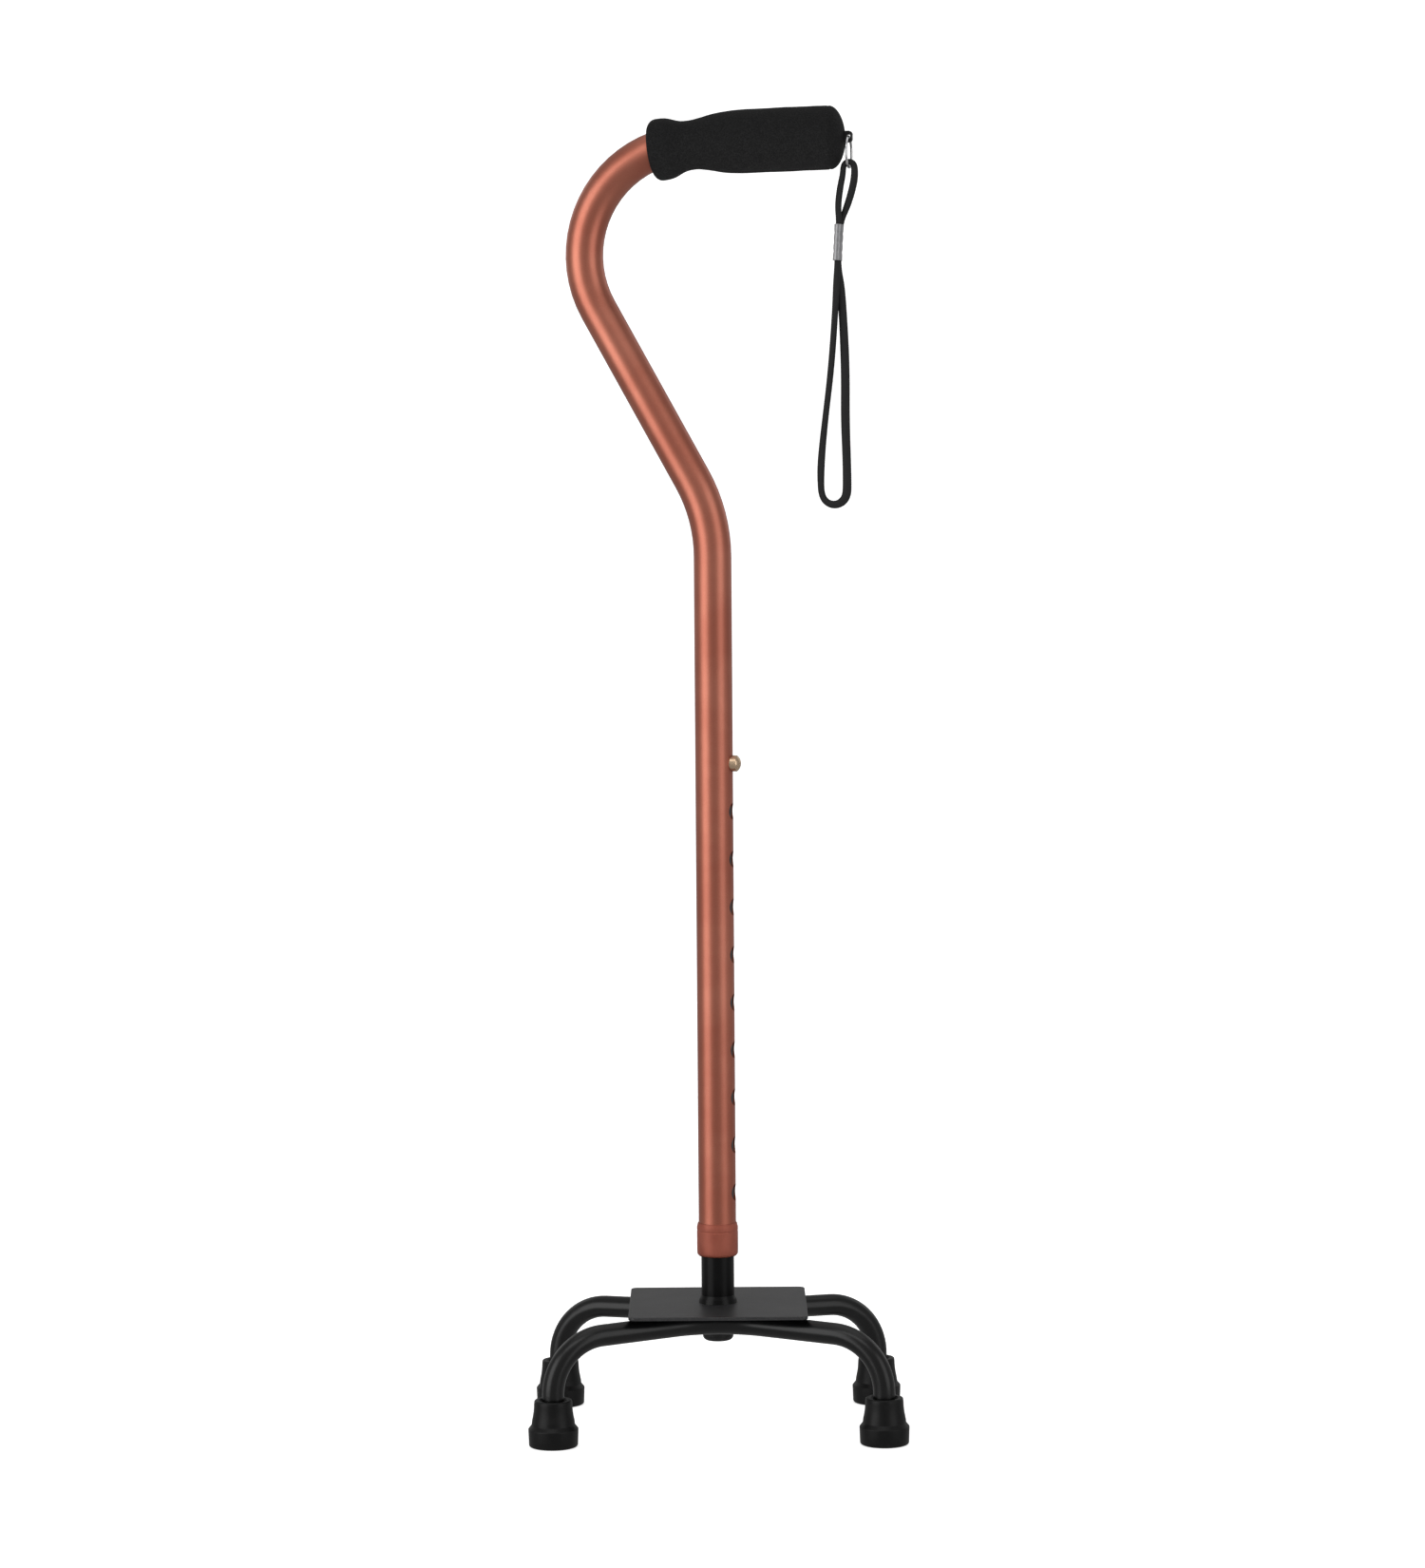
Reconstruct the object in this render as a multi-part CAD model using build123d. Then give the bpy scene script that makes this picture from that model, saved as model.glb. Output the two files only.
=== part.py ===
"""Quad walking cane: a four-footed base, a telescoping shaft with an offset handle, and a wrist strap.

Origin: on the floor, under the post's axis. +X towards the handle's free end, +Z up. The base is square
to X and Y. The shaft, its holes and the handle lie in an upright plane turned by `handle_yaw` about Z.
All sizes are in millimetres.
"""
import os
from math import asin, atan2, cos, hypot, pi, radians, sin, sqrt, tan

from build123d import *

# ---- base ----
foot_x = 95.3
foot_y = 60.0
tip_height = 27.0
tip_flange_r = 14.5
tip_flange_height = 10.5
tip_shoulder_height = 12.5
tip_cone_bottom_r = 12.6
tip_cone_top_r = 10.75
tip_rim_r = 8.2
tip_rim_depth = 3.4
tip_sole_edge = 1.2
tip_groove_radii = (7.0, 11.0)
tip_groove_width = 1.6
tip_groove_depth = 1.5
tip_floor = 8.0
washer_thickness = 1.5
washer_r = 8.6
washer_hole_r = 3.0
leg_r = 6.35
leg_wall = 1.5
leg_bend_z = 60.6
leg_middle_y = 15.0
leg_corner_radius = 32.0
leg_bow_radius = 60.0
plate_length = 104.0
plate_width = 100.0
plate_thickness = 2.0
plate_top = 72.2
plate_corner_r = 4.0
plate_edge_r = 0.5
bead_r = 1.2
bead_length = 20.0
bead_distance = 32.0
bead_gap = 0.1

# ---- post ----
post_r = 9.65
post_wall = 1.5
post_top = 404.0
post_flare_r = 11.25
post_flare_height = 4.5
post_flare_waist = (10.75, 2.4)
post_flare_top_r = 9.9
stub_r = 9.05
stub_edge_r = 3.0
stub_bottom = 49.8
top_plug_thickness = 1.5
spigot_length = 7.0
spigot_play = 0.05

# ---- shaft ----
handle_yaw = 12.0
shaft_r = 11.0
shaft_bore_r = 9.75
shaft_bottom = 106.0
low_bend_z = 534.3
low_bend_radius = 93.0
hook_u = -11.6
hook_z = 685.7
hook_radius = 63.6
handle_rise = 1.0
shaft_end_u = 68.0
hole_r = 5.0
hole_pitch = 28.0
hole_count = 10
top_hole_z = 389.6

# ---- snap button and its leaf spring ----
button_r = 4.75
button_head_u = 16.0
button_dome = 2.4
button_flange_r = 5.5
button_flange = (4.6, 5.6)
leaf_width = 7.0
leaf_thickness = 0.6
leaf_front_u = 4.3
leaf_back_u = -6.7
leaf_bottom = 338.0
leaf_above_button = 3.5

# ---- locking collar ----
collar_bottom = 100.0
collar_top = 119.5
collar_r = 12.1
collar_mouth_r = 11.5
collar_taper = 2.5
collar_bore_r = 11.1
collar_lip_r = 9.85
collar_lip_height = 3.2
collar_edge_r = 2.0
ring_inner_r = 9.75
ring_outer_r = 10.9
ring_height = 2.5
ring_split = 1.6

# ---- handle end, ring and strap ----
grip_end_u = 80.4
grip_length = 105.0
grip_dome = 10.0
grip_bend_at = 31.0
grip_bend = 6.0
grip_bend_radius = 180.0
end_plug_depth = 12.0
end_plug_flange = 1.5
end_plug_hole = 8.0
stem_start_u = 62.0
eye_root = 1.6
eye_corner_r = 1.9
eye_u = 81.9
eye_hole_r = 1.2
eye_tip_r = 2.1
eye_height = 6.6
eye_thickness = 3.4
stem_r = 2.0
wire_r = 0.7
strap_ring_r = 8.8
cord_r = 1.95
ferrule_top = -32.6
ferrule_bottom = -53.0
ferrule_outer = (9.9, 5.0)
ferrule_inner = (8.9, 4.2)
ferrule_top_u = -1.66
ferrule_bottom_u = -2.79

# grip outline: distance from its flared end along the grip's axis, and radius there
grip_profile = [
    (0.0, 14.2), (0.9, 16.0), (2.6, 17.2), (5.2, 17.8), (9.0, 17.9), (12.2, 17.3), (15.0, 16.2), (18.0, 15.1),
    (21.5, 14.4), (26.0, 14.3), (30.5, 15.0), (36.0, 16.3), (43.0, 17.5), (51.0, 18.3), (60.0, 18.7),
    (grip_length, 18.7),
]

# strap route from inside the ferrule, round the ring's lowest point, down through the ferrule, round the
# wrist loop and back into the ferrule: (along the handle, across it, up), from the ring's lowest point
strap_route = [
    (-2.25, -2.3, -42.3), (-1.6, -2.3, -31.5), (-2.7, -1.7, -21.0), (-3.4, -0.7, -11.0), (-3.3, -0.1, -4.2),
    (-3.2, 0.0, 1.33), (-1.33, 0.0, 3.2), (1.33, 0.0, 3.2), (3.2, 0.0, 1.33), (3.5, 0.1, -4.2),
    (3.6, 0.6, -11.0), (2.3, 1.6, -21.0), (-1.6, 2.3, -31.5), (-2.9, 2.3, -55.0), (-1.0, 1.9, -70.0),
    (0.4, 1.4, -92.0), (1.4, 0.8, -117.0), (1.2, 0.3, -144.0), (2.3, 0.0, -167.0), (2.3, 0.1, -180.0),
    (2.1, 0.0, -189.0), (-2.4, 0.0, -193.5), (-8.8, 0.0, -193.5), (-13.3, 0.0, -189.0), (-13.9, -0.1, -179.0),
    (-13.2, 0.0, -165.0), (-10.6, -0.4, -144.0), (-7.2, -0.9, -119.0), (-5.0, -1.4, -96.0),
    (-3.6, -1.9, -76.0), (-2.9, -2.3, -60.0), (-2.3, -2.3, -43.3),
]


def at_handle(u, v, z):
    """A point given along the handle's plane (u), across it (v) and up (z), in the part's own frame."""
    turn = radians(handle_yaw)
    return Vector(u * cos(turn) + v * sin(turn), -u * sin(turn) + v * cos(turn), z)


def handle_direction(u, z):
    """A unit direction in the handle's plane."""
    return at_handle(u, 0, z).normalized()


def cylinder_between(start, end, radius):
    """A solid cylinder from one point to another."""
    axis = end - start
    base = Plane(origin=start, z_dir=axis)
    return extrude(base * Circle(radius), amount=axis.length)


def lathe(outline, centre=(0, 0, 0)):
    """A closed outline of (radius, height) points, turned about an upright axis through `centre`."""
    face = make_face(Plane.XZ * Polyline(outline, close=True))
    return Pos(*centre) * revolve(face, Axis.Z)


def tube_along(path, outer_r, inner_r):
    """A round tube swept along a path that begins with a straight run."""
    start = Plane(origin=path @ 0, z_dir=path % 0)
    outer = sweep(start * Circle(outer_r), path=path)
    if inner_r == 0:
        return outer
    return outer - sweep(start * Circle(inner_r), path=path)


# ---------------------------------------------------------------- base


def rubber_tip(x, y):
    """Foot: wide sole, tapering socket with a dished rim, pocket for the washer, grooves under the sole."""
    pocket_top = tip_floor + washer_thickness
    outline = [
        (0, 0), (tip_flange_r - tip_sole_edge, 0), (tip_flange_r, tip_sole_edge),
        (tip_flange_r, tip_flange_height), (tip_cone_bottom_r, tip_shoulder_height),
        (tip_cone_top_r, tip_height), (tip_rim_r, tip_height), (leg_r, tip_height - tip_rim_depth),
        (leg_r, pocket_top), (washer_r, pocket_top), (washer_r, tip_floor), (0, tip_floor),
    ]
    tip = lathe(outline, (x, y, 0))
    half = tip_groove_width / 2
    for groove_r in tip_groove_radii:
        ring = Pos(x, y, 0) * (Circle(groove_r + half) - Circle(groove_r - half))
        tip -= extrude(ring, amount=tip_groove_depth)
    return tip


def washers():
    """Steel washers buried in the feet, under the ends of the leg tubes."""
    flat = extrude(Circle(washer_r) - Circle(washer_hole_r), amount=washer_thickness)
    return Compound([Pos(x, y, tip_floor) * flat for x in (-foot_x, foot_x) for y in (-foot_y, foot_y)])


def leg_path(side):
    """Centre line of one leg tube, from its left foot to its right foot; side is -1 in front, 1 behind."""
    tube_z = plate_top - plate_thickness - leg_r
    foot_z = tip_floor + washer_thickness
    points = [
        (-foot_x, side * foot_y, foot_z),
        (-foot_x, side * foot_y, leg_bend_z),
        (0, side * leg_middle_y, tube_z),
        (foot_x, side * foot_y, leg_bend_z),
        (foot_x, side * foot_y, foot_z),
    ]
    return FilletPolyline(*points, radius=[leg_corner_radius, leg_bow_radius, leg_corner_radius])


def leg_tube(side):
    """One bent tube that makes two legs; its middle bows towards the post."""
    return tube_along(leg_path(side), leg_r, leg_r - leg_wall)


def base_plate():
    """Flat plate with small rounded corners and softened edges; the post passes through its middle."""
    plate = extrude(RectangleRounded(plate_length, plate_width, plate_corner_r), amount=plate_thickness)
    plate = fillet(plate.edges().group_by(Axis.Z)[0] + plate.edges().group_by(Axis.Z)[-1], plate_edge_r)
    plate -= extrude(Circle(post_r), amount=plate_thickness)
    return Pos(0, 0, plate_top - plate_thickness) * plate


def weld_beads():
    """Weld beads that hold the leg tubes to the plate's underside, one on each side of each arm."""
    slope = atan2(foot_y - leg_middle_y, foot_x)
    drop = leg_r - bead_r
    reach = sqrt((leg_r + bead_r + bead_gap) ** 2 - drop ** 2)
    beads = []
    for side in (-1, 1):
        for hand in (-1, 1):
            for edge in (-1, 1):
                x = hand * (bead_distance * cos(slope) - edge * reach * sin(slope))
                y = side * (leg_middle_y + bead_distance * sin(slope) + edge * reach * cos(slope))
                axis = Vector(hand * cos(slope), side * sin(slope), 0) * (bead_length / 2)
                middle = Vector(x, y, plate_top - plate_thickness - bead_r)
                beads.append(cylinder_between(middle - axis, middle + axis, bead_r))
    return Compound(beads)


# ---------------------------------------------------------------- post


def post():
    """Inner tube: welded in the plate at the bottom, with one hole for the snap button near its top."""
    bottom = plate_top - plate_thickness
    tube = Pos(0, 0, bottom) * extrude(Circle(post_r) - Circle(post_r - post_wall), amount=post_top - bottom)
    start = at_handle(0, 0, top_hole_z)
    return tube - cylinder_between(start, at_handle(2 * post_r, 0, top_hole_z), hole_r)


def post_flare():
    """Cone-shaped collar at the foot of the post."""
    top = plate_top + post_flare_height
    waist_r, waist_height = post_flare_waist
    outline = [(post_r, plate_top), (post_flare_r, plate_top), (waist_r, plate_top + waist_height),
               (post_flare_top_r, top), (post_r, top)]
    return lathe(outline)


def post_end_cap():
    """Rounded cap that closes the post under the plate, held by a spigot inside the post."""
    seat = plate_top - plate_thickness
    spigot_r = post_r - post_wall - spigot_play
    cap = Pos(0, 0, stub_bottom) * extrude(Circle(stub_r), amount=seat - stub_bottom)
    cap = fillet(cap.edges().sort_by(Axis.Z)[0], stub_edge_r)
    return cap + Pos(0, 0, seat) * extrude(Circle(spigot_r), amount=spigot_length)


def post_top_plug():
    """Plug that closes the top of the post and keeps it centred in the shaft."""
    spigot_r = post_r - post_wall - spigot_play
    plug = Pos(0, 0, post_top - spigot_length) * extrude(Circle(spigot_r), amount=spigot_length)
    return plug + Pos(0, 0, post_top) * extrude(Circle(post_r), amount=top_plug_thickness)


def button_spring():
    """Leaf spring bent like a hairpin inside the post; its front leaf carries the button."""
    top = top_hole_z + leaf_above_button
    bend_r = 0.49 * (leaf_front_u - leaf_back_u)
    points = [at_handle(leaf_back_u, 0, top), at_handle(leaf_back_u, 0, leaf_bottom),
              at_handle(leaf_front_u, 0, leaf_bottom), at_handle(leaf_front_u, 0, top)]
    path = FilletPolyline(*points, radius=bend_r)
    start = Plane(origin=path @ 0, x_dir=handle_direction(1, 0), z_dir=path % 0)
    return sweep(start * Rectangle(leaf_thickness, leaf_width), path=path)


def snap_button():
    """Push button with a domed head, a barrel that fills the hole and a flange behind the post's wall."""
    flange_back, flange_front = button_flange
    outline = [(0, flange_back), (button_flange_r, flange_back), (button_flange_r, flange_front),
               (button_r, flange_front), (button_r, button_head_u - button_dome)]
    dome_r = (button_r ** 2 + button_dome ** 2) / (2 * button_dome)
    half_turn = asin(button_r / dome_r) / 2
    crown = (dome_r * sin(half_turn), button_head_u - dome_r * (1 - cos(half_turn)))
    dome = ThreePointArc((button_r, button_head_u - button_dome), crown, (0, button_head_u))
    edge = Polyline(outline)
    axis_line = Line((0, button_head_u), (0, flange_back))
    turned = revolve(make_face(Plane.XZ * (edge + dome + axis_line)), Axis.Z)
    return Plane(origin=at_handle(0, 0, top_hole_z), z_dir=handle_direction(1, 0)).location * turned


# ---------------------------------------------------------------- shaft


def hook_points():
    """Corners of the shaft's centre line: the low bend, and where the lean meets the handle's line."""
    reach = hypot(hook_u, hook_z - low_bend_z)
    lean = asin(hook_radius / reach) + atan2(-hook_u, hook_z - low_bend_z)
    rise = radians(handle_rise)
    top_u = hook_u - hook_radius * sin(rise)
    top_z = hook_z + hook_radius * cos(rise)
    # leaning line: (0, low_bend_z) + s * (-sin(lean), cos(lean)); handle line: (top) + t * (cos, sin)(rise)
    gap_u, gap_z = top_u, top_z - low_bend_z
    turn = cos(lean) * cos(rise) + sin(lean) * sin(rise)
    along = (gap_z * cos(rise) - gap_u * sin(rise)) / turn
    corner = (-along * sin(lean), low_bend_z + along * cos(lean))
    return corner, (top_u, top_z)


def handle_axis_z(u):
    """Height of the handle's straight axis at u."""
    top_u, top_z = hook_points()[1]
    return top_z + (u - top_u) * tan(radians(handle_rise))


def shaft_path():
    """Centre line of the outer tube, from its lower end to the end of the handle."""
    corner = hook_points()[0]
    points = [(0, shaft_bottom), (0, low_bend_z), corner, (shaft_end_u, handle_axis_z(shaft_end_u))]
    return FilletPolyline(*[at_handle(u, 0, z) for u, z in points], radius=[low_bend_radius, hook_radius])


def upper_tube():
    """Outer tube: straight, bent back, then hooked over into the handle, with a row of holes."""
    tube = tube_along(shaft_path(), shaft_r, shaft_bore_r)
    for step in range(hole_count):
        z = top_hole_z - step * hole_pitch
        tube -= cylinder_between(at_handle(0, 0, z), at_handle(2 * shaft_r, 0, z), hole_r)
    return tube


def handle_frame(u):
    """Plane across the handle at u, with its normal along the handle's axis."""
    rise = radians(handle_rise)
    return Plane(origin=at_handle(u, 0, handle_axis_z(u)), x_dir=at_handle(0, 1, 0),
                 z_dir=at_handle(cos(rise), 0, sin(rise)))


def handle_end_plug():
    """Plug with a flange that closes the tube inside the grip and holds the eyelet's stem."""
    across = handle_frame(shaft_end_u)
    plug = extrude(across * Circle(shaft_bore_r - spigot_play), amount=-end_plug_depth)
    plug += extrude(across * Circle(shaft_r), amount=end_plug_flange)
    return plug - extrude(across.offset(end_plug_flange) * Circle(stem_r), amount=-end_plug_hole)


def strap_eyelet():
    """Lug with a cross hole at the middle of the handle's end, on a stem that goes into the plug."""
    flat_end = grip_end_u - eye_root
    stem = extrude(handle_frame(stem_start_u) * Circle(stem_r), amount=flat_end - stem_start_u)
    side = Plane(origin=at_handle(eye_u, 0, handle_axis_z(eye_u)), x_dir=handle_direction(1, 0),
                 z_dir=at_handle(0, -1, 0))
    back = flat_end - eye_u
    outline = Pos((back + eye_tip_r) / 2, 0) * Rectangle(eye_tip_r - back, eye_height)
    outline = fillet(outline.vertices().group_by(Axis.X)[-1], eye_corner_r)
    hole = Circle(eye_hole_r)
    return stem + extrude(side * (outline - hole), amount=eye_thickness / 2, both=True)


def grip_path():
    """The grip's own axis, from its flared end: it bends less than the tube inside it."""
    dome_start = grip_end_u - grip_dome
    rise = radians(handle_rise)
    bend_u = dome_start - (grip_length - grip_bend_at) * cos(rise)
    steeper = radians(handle_rise + grip_bend)
    flared_u = bend_u - grip_bend_at * cos(steeper)
    flared_z = handle_axis_z(bend_u) - grip_bend_at * sin(steeper)
    points = [(flared_u, flared_z), (bend_u, handle_axis_z(bend_u)), (dome_start, handle_axis_z(dome_start))]
    return FilletPolyline(*[at_handle(u, 0, z) for u, z in points], radius=grip_bend_radius)


def grip_sections():
    """Rounds across the grip, from its flared end to the start of its domed end."""
    path = grip_path()
    sections = []
    for along, radius in grip_profile:
        place = along / grip_length
        sections.append(Plane(origin=path @ place, z_dir=path % place) * Circle(radius))
    return sections


def foam_grip():
    """Foam grip: flared at the hook's end, waisted, with a closed domed end."""
    body = loft(grip_sections(), ruled=True)
    full_r = grip_profile[-1][1]
    dome = Ellipse(full_r, grip_dome) & Pos(full_r / 2, grip_dome / 2) * Rectangle(full_r, grip_dome)
    turned = revolve(Plane.XZ * dome, Axis.Z)
    dome_start = grip_end_u - grip_dome
    body += handle_frame(dome_start).location * turned
    body -= tube_along(shaft_path(), shaft_r, 0)
    body -= extrude(handle_frame(shaft_end_u) * Circle(shaft_r), amount=end_plug_flange)
    body -= strap_eyelet()
    return body


# ---------------------------------------------------------------- collar


def locking_collar():
    """Screw collar on the shaft's lower end, with a lip round the post."""
    outline = [
        (collar_lip_r, collar_bottom), (collar_r, collar_bottom), (collar_r, collar_top - collar_taper),
        (collar_mouth_r, collar_top), (collar_bore_r, collar_top),
        (collar_bore_r, collar_bottom + collar_lip_height), (collar_lip_r, collar_bottom + collar_lip_height),
    ]
    collar = lathe(outline)
    rim = collar.edges().filter_by(GeomType.CIRCLE).group_by(Axis.Z)[0].sort_by(SortBy.RADIUS)[-1]
    return fillet(rim, collar_edge_r)


def compression_ring():
    """Split ring that the collar squeezes on the post."""
    bottom = collar_bottom + collar_lip_height
    ring = Pos(0, 0, bottom) * extrude(Circle(ring_outer_r) - Circle(ring_inner_r), amount=ring_height)
    return ring - Pos(ring_outer_r, 0, bottom) * Box(ring_outer_r, ring_split, 4 * ring_height)


# ---------------------------------------------------------------- ring and strap


def ring_low_point():
    """Middle of the ring's wire at its lowest point, in handle coordinates."""
    return eye_u, 0.0, handle_axis_z(eye_u) - 2 * strap_ring_r


def strap_ring():
    """Wire ring that hangs in the eyelet, across the handle."""
    u, v, z = ring_low_point()
    centre = Plane(origin=at_handle(u, v, z + strap_ring_r), z_dir=handle_direction(1, 0))
    return centre.location * Torus(strap_ring_r, wire_r)


def strap_points():
    """The strap's route in the part's frame."""
    low_u, low_v, low_z = ring_low_point()
    return [at_handle(low_u + u, low_v + v, low_z + z) for u, v, z in strap_route]


def arc_radii(points):
    """Largest arc at each corner that its two runs allow."""
    radii = []
    for before, corner, after in zip(points, points[1:], points[2:]):
        turn = radians((corner - before).get_angle(after - corner))
        shorter = min((corner - before).length, (after - corner).length)
        radii.append(0.45 * shorter / tan(turn / 2))
    return radii


def wrist_strap():
    """Round cord that makes a small loop through the ring and a large loop for the wrist."""
    points = strap_points()
    radii = arc_radii(points)
    path = FilletPolyline(*points, radius=radii)
    strap = tube_along(path, cord_r, 0)
    ratio = strap.volume / (pi * cord_r ** 2 * path.length)
    print("strap length", round(path.length, 1), "volume over section times length", round(ratio, 4))
    print("strap arc radii", [round(radius, 1) for radius in radii])
    return strap


def strap_ferrule():
    """Crimped oval sleeve that holds the strap's two strands and its two ends."""
    low_u, low_v, low_z = ring_low_point()
    top = at_handle(low_u + ferrule_top_u, low_v, low_z + ferrule_top)
    bottom = at_handle(low_u + ferrule_bottom_u, low_v, low_z + ferrule_bottom)
    across = Plane(origin=bottom, x_dir=at_handle(0, 1, 0), z_dir=top - bottom)
    section = SlotOverall(*ferrule_outer) - SlotOverall(*ferrule_inner)
    return extrude(across * section, amount=(top - bottom).length)


def build_all():
    """Every node of the cane by name."""
    nodes = {
        "base_plate": base_plate(),
        "front_leg_tube": leg_tube(-1),
        "rear_leg_tube": leg_tube(1),
        "tip_washers": washers(),
        "weld_beads": weld_beads(),
        "post": post(),
        "post_flare": post_flare(),
        "post_end_cap": post_end_cap(),
        "post_top_plug": post_top_plug(),
        "button_spring": button_spring(),
        "snap_button": snap_button(),
        "upper_tube": upper_tube(),
        "handle_end_plug": handle_end_plug(),
        "strap_eyelet": strap_eyelet(),
        "foam_grip": foam_grip(),
        "locking_collar": locking_collar(),
        "compression_ring": compression_ring(),
        "strap_ring": strap_ring(),
        "strap_ferrule": strap_ferrule(),
        "wrist_strap": wrist_strap(),
    }
    for row, y in (("front", -foot_y), ("rear", foot_y)):
        for hand, x in (("left", -foot_x), ("right", foot_x)):
            nodes[f"tip_{row}_{hand}"] = rubber_tip(x, y)
    return nodes


if __name__ == "__main__":
    os.makedirs("parts", exist_ok=True)
    for name, solid in build_all().items():
        export_step(solid, f"parts/{name}.step")
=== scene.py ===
from math import cos, pi, radians, sin

import bpy
import numpy as np
from mathutils import Matrix, Vector


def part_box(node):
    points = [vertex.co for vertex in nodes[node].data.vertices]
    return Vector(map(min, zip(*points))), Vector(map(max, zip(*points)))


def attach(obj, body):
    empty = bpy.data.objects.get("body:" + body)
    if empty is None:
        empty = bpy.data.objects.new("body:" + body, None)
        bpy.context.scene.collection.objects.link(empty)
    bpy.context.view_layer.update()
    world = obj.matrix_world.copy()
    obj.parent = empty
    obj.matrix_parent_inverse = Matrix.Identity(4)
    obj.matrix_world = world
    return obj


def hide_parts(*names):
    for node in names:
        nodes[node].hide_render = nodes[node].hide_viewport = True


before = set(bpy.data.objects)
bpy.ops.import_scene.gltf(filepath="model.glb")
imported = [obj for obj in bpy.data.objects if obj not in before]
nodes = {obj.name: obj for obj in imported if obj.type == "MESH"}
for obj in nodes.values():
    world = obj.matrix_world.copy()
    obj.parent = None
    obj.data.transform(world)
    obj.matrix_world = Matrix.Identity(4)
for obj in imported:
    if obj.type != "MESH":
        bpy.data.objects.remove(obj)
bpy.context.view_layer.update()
print("frame loaded,", len(nodes), "nodes")

# the upright plane of the handle, its strap and the row of holes is turned this far about Z
handleYaw = radians(12)
alongHandle = np.array([cos(handleYaw), -sin(handleYaw), 0.0])
acrossHandle = np.array([sin(handleYaw), cos(handleYaw), 0.0])
upward = np.array([0.0, 0.0, 1.0])


# ---- camera, light and floor

camera = {"distance": 2.5, "height": 0.5256, "across": -0.0010, "lookDown": 3.39, "roll": -0.42, "lens": 98.4}
stageSet = {"floorSize": 5.8, "backDistance": 4.3, "wallHeight": 6.1, "bend": 1.8, "steps": 48,
            "floorColour": (0.93, 0.93, 0.925), "floorGlow": 0.62, "worldSeen": 1.0, "worldLight": 0.34}
# each light: where its middle is, what it faces, its width and height, and its power
lights = {
    "leftSoftbox": {"at": (-1.72, -1.2, 0.70), "aim": (0, 0, 0.42), "size": (1.6, 2.0), "power": 19},
    "rightSoftbox": {"at": (1.55, -1.36, 0.70), "aim": (0, 0, 0.42), "size": (1.25, 1.9), "power": 8.4},
    "topSoftbox": {"at": (0.1, 0.15, 2.3), "aim": (0, 0, 0.3), "size": (1.9, 1.9), "power": 6},
    "frontTop": {"at": (-0.35, -1.55, 2.25), "aim": (0, 0, 0.4), "size": (2.0, 0.8), "power": 9},
    "backLeft": {"at": (-1.3, 1.7, 1.1), "aim": (0, 0, 0.4), "size": (0.7, 1.3), "power": 1.5},
    "backRight": {"at": (1.5, 1.5, 1.1), "aim": (0, 0, 0.4), "size": (0.7, 1.3), "power": 1.5},
}


def makeCamera():
    cameraData = bpy.data.cameras.new("camera")
    cameraData.lens = camera["lens"]
    cameraData.sensor_width = 36
    cameraObject = bpy.data.objects.new("camera", cameraData)
    lookDown = Matrix.Rotation(radians(90 - camera["lookDown"]), 4, "X")
    roll = Matrix.Rotation(radians(camera["roll"]), 4, "Z")
    place = Matrix.Translation((camera["across"], -camera["distance"], camera["height"]))
    cameraObject.matrix_world = place @ (lookDown @ roll)
    bpy.context.scene.collection.objects.link(cameraObject)
    bpy.context.scene.camera = cameraObject


def makeLights():
    for name, spec in lights.items():
        lightData = bpy.data.lights.new(name, "AREA")
        lightData.shape = "RECTANGLE"
        lightData.size, lightData.size_y = spec["size"]
        lightData.energy = spec["power"]
        lightObject = bpy.data.objects.new(name, lightData)
        lightObject.location = spec["at"]
        lightObject.visible_camera = False
        facing = Vector(spec["aim"]) - Vector(spec["at"])
        lightObject.rotation_euler = facing.to_track_quat("-Z", "Y").to_euler()
        bpy.context.scene.collection.objects.link(lightObject)


def makeWorld():
    # a pale room: what the camera sees of it is white, what lights the cane is softer
    world = bpy.data.worlds.new("room")
    bpy.context.scene.world = world
    world.use_nodes = True
    tree = world.node_tree
    background = tree.nodes["Background"]
    background.inputs["Color"].default_value = (1, 1, 1, 1)
    path = tree.nodes.new("ShaderNodeLightPath")
    strength = tree.nodes.new("ShaderNodeMapRange")
    strength.inputs["To Min"].default_value = stageSet["worldLight"]
    strength.inputs["To Max"].default_value = stageSet["worldSeen"]
    tree.links.new(path.outputs["Is Camera Ray"], strength.inputs["Value"])
    tree.links.new(strength.outputs["Result"], background.inputs["Strength"])


# ---- meshes from numpy grids

def putMesh(name, points, faces, uvs=None):
    mesh = bpy.data.meshes.new(name)
    mesh.from_pydata(points.tolist(), [], [list(face) for face in faces])
    mesh.polygons.foreach_set("use_smooth", np.ones(len(mesh.polygons), bool))
    if uvs is not None:
        mesh.uv_layers.new(name="surface").data.foreach_set("uv", np.asarray(uvs, float).ravel())
    mesh.update()
    piece = bpy.data.objects.new(name, mesh)
    bpy.context.scene.collection.objects.link(piece)
    return piece


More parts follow.
